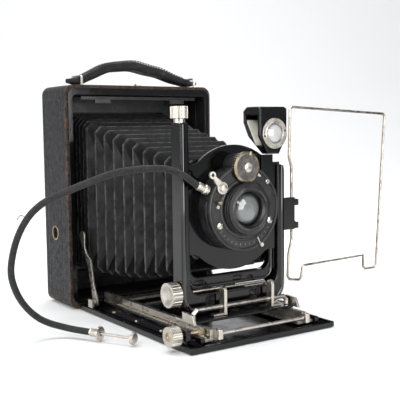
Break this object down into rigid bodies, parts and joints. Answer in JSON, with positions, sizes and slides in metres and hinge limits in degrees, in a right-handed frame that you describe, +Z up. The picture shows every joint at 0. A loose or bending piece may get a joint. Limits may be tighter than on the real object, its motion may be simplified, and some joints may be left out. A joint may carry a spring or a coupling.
{
  "type": "folding plate camera",
  "caption": "Folding plate camera with a leather body and a drop bed, whose pleated bellows runs out on a geared track to a lens and shutter with reflex and wire finders and a cable release.",
  "frame": {"origin": "middle of the hinge edge of the bed, on the plane that the body and the bed stand on", "axes": "-Y out of the lens along the bed, +Z up, +X to the right seen from the front"},
  "size_m": [0.2729, 0.1939, 0.1729],
  "materials": {
    "leather": "grained, worn brown at the edges",
    "strap_leather": "smooth, cracked",
    "bellows_leather": "matt, folded",
    "lacquer": "glossy black",
    "nickel": "polished nickel plate, worn",
    "brass": "aged",
    "shutter_black": "satin black enamel",
    "glass": "clear",
    "cloth": "woven cable cover"
  },
  "bodies": {
    "camera_body": {"body_shell": "leather", "front_rim": "lacquer", "tripod_bush_side": "brass", "door_latch_strip": "nickel", "carrying_strap": "strap_leather", "strap_lug_left": "nickel", "strap_lug_right": "nickel", "bed_plate": "lacquer", "bed_hinge_pin": "nickel", "tripod_bush_bed": "brass", "bed_rail_left": "lacquer", "bed_rail_right": "lacquer", "back_frame": "lacquer", "strut_pivot_left": "nickel", "strut_pivot_right": "nickel", "pinion_bearing": "brass"},
    "catch": {"bed_catch_button": "nickel"},
    "focusing_back": {"focusing_back_frame": "lacquer", "ground_glass": "glass"},
    "hood_cover": {"focusing_hood_cover": "leather"},
    "strut_left": {"bed_strut_left": "nickel"},
    "strut_right": {"bed_strut_right": "nickel"},
    "focus_drive": {"focus_pinion": "brass", "focus_knob": "nickel"},
    "track": {"focus_track": "nickel", "focus_rack": "brass", "track_crosspiece": "nickel", "track_stop_left": "nickel", "track_stop_right": "nickel"},
    "carriage": {"carriage_plate": "lacquer", "carriage_shoe_left": "nickel", "carriage_shoe_right": "nickel", "pinch_bar": "nickel", "shift_nut": "brass"},
    "pinch_left": {"pinch_lever_left": "nickel"},
    "pinch_right": {"pinch_lever_right": "nickel"},
    "standard": {"standard_frame": "lacquer", "standard_inner_frame": "lacquer", "wire_finder_bracket": "lacquer"},
    "shift_drive": {"shift_screw": "nickel", "shift_knob": "nickel"},
    "rise_drive": {"rise_screw": "nickel", "rise_knob": "nickel"},
    "wire_finder": {"wire_finder_frame": "nickel"},
    "lens": {"lens_board": "lacquer", "bellows_front_frame": "lacquer", "shutter_housing": "shutter_black", "lens_barrel": "shutter_black", "front_element": "glass", "rear_cell": "shutter_black", "bellows": "bellows_leather", "cable_ferrule": "nickel", "release_cable": "cloth", "release_collar": "nickel"},
    "dial": {"speed_dial": "brass"},
    "cocking": {"cocking_lever": "nickel"},
    "aperture": {"aperture_lever": "nickel"},
    "finder": {"finder_housing": "lacquer", "finder_lens_ring": "nickel"},
    "plunger": {"release_plunger": "nickel"}
  },
  "joints": [
    {"name": "focus_track_slide", "type": "slide", "parent": "camera_body", "child": "track", "axis": [0, -1, 0], "range_m": [0, 0.095], "deforming": ["bellows"]},
    {"name": "focus_knob_turn", "type": "hinge", "parent": "camera_body", "child": "focus_drive", "pos_m": [-0.054, -0.13, 0.0087], "axis": [1, 0, 0], "continuous": true},
    {"name": "standard_slide", "type": "slide", "parent": "track", "child": "carriage", "axis": [0, 1, 0], "range_m": [0, 0.088], "deforming": ["bellows"]},
    {"name": "pinch_left_squeeze", "type": "slide", "parent": "carriage", "child": "pinch_left", "axis": [1, 0, 0], "range_m": [0, 0.006], "stiffness_N_per_m": 150},
    {"name": "pinch_right_squeeze", "type": "slide", "parent": "carriage", "child": "pinch_right", "axis": [1, 0, 0], "range_m": [-0.006, 0]},
    {"name": "lens_shift", "type": "slide", "parent": "carriage", "child": "standard", "axis": [1, 0, 0], "range_m": [-0.006, 0.006], "deforming": ["bellows"]},
    {"name": "shift_knob_turn", "type": "hinge", "parent": "standard", "child": "shift_drive", "pos_m": [-0.04, -0.106, 0.0263], "axis": [1, 0, 0], "continuous": true},
    {"name": "lens_rise", "type": "slide", "parent": "standard", "child": "lens", "axis": [0, 0, 1], "range_m": [-0.01, 0.01], "deforming": ["bellows"]},
    {"name": "rise_knob_turn", "type": "hinge", "parent": "standard", "child": "rise_drive", "pos_m": [-0.0361, -0.106, 0.13], "axis": [0, 0, 1], "continuous": true},
    {"name": "wire_finder_turn", "type": "hinge", "parent": "standard", "child": "wire_finder", "pos_m": [0.056, -0.0986, 0.067], "axis": [0, 0, 1], "range_deg": [-120, 0]},
    {"name": "speed_dial_turn", "type": "hinge", "parent": "lens", "child": "dial", "pos_m": [0, -0.121, 0.1008], "axis": [0, 1, 0], "range_deg": [-150, 150]},
    {"name": "cocking_lever_turn", "type": "hinge", "parent": "lens", "child": "cocking", "pos_m": [-0.017, -0.121, 0.0892], "axis": [0, 1, 0], "range_deg": [0, 50], "stiffness_Nm_per_rad": 0.02},
    {"name": "aperture_lever_turn", "type": "hinge", "parent": "lens", "child": "aperture", "pos_m": [0, -0.121, 0.076], "axis": [0, 1, 0], "range_deg": [-10, 75]},
    {"name": "finder_turn", "type": "hinge", "parent": "lens", "child": "finder", "pos_m": [0.0295, -0.118, 0.1075], "axis": [0, 1, 0], "range_deg": [0, 90]},
    {"name": "release_press", "type": "slide", "parent": "lens", "child": "plunger", "axis": [-0.4656, 0.8849, 0.0115], "range_m": [0, 0.0055], "stiffness_N_per_m": 60},
    {"name": "focusing_back_slide", "type": "slide", "parent": "camera_body", "child": "focusing_back", "axis": [0, 0, 1], "range_m": [0, 0.06]},
    {"name": "hood_cover_turn", "type": "hinge", "parent": "focusing_back", "child": "hood_cover", "pos_m": [0, 0.0507, 0.141], "axis": [1, 0, 0], "range_deg": [0, 100]},
    {"name": "bed_catch_press", "type": "slide", "parent": "camera_body", "child": "catch", "axis": [0, 0, -1], "range_m": [0, 0.0012], "stiffness_N_per_m": 300},
    {"name": "strut_left_press", "type": "hinge", "parent": "camera_body", "child": "strut_left", "pos_m": [-0.0486, -0.017, 0.007], "axis": [0, 1, 0], "range_deg": [0, 4], "stiffness_Nm_per_rad": 0.3},
    {"name": "strut_right_press", "type": "hinge", "parent": "camera_body", "child": "strut_right", "pos_m": [0.0486, -0.017, 0.007], "axis": [0, -1, 0], "range_deg": [0, 4], "stiffness_Nm_per_rad": 0.3}
  ],
  "couplings": [
    {"joint": "focus_knob_turn", "follows": "focus_track_slide", "rad_per_m": -476},
    {"joint": "pinch_right_squeeze", "follows": "pinch_left_squeeze", "ratio": -1},
    {"joint": "shift_knob_turn", "follows": "lens_shift", "rad_per_m": 5026.5},
    {"joint": "rise_knob_turn", "follows": "lens_rise", "rad_per_m": 3141.6}
  ]
}
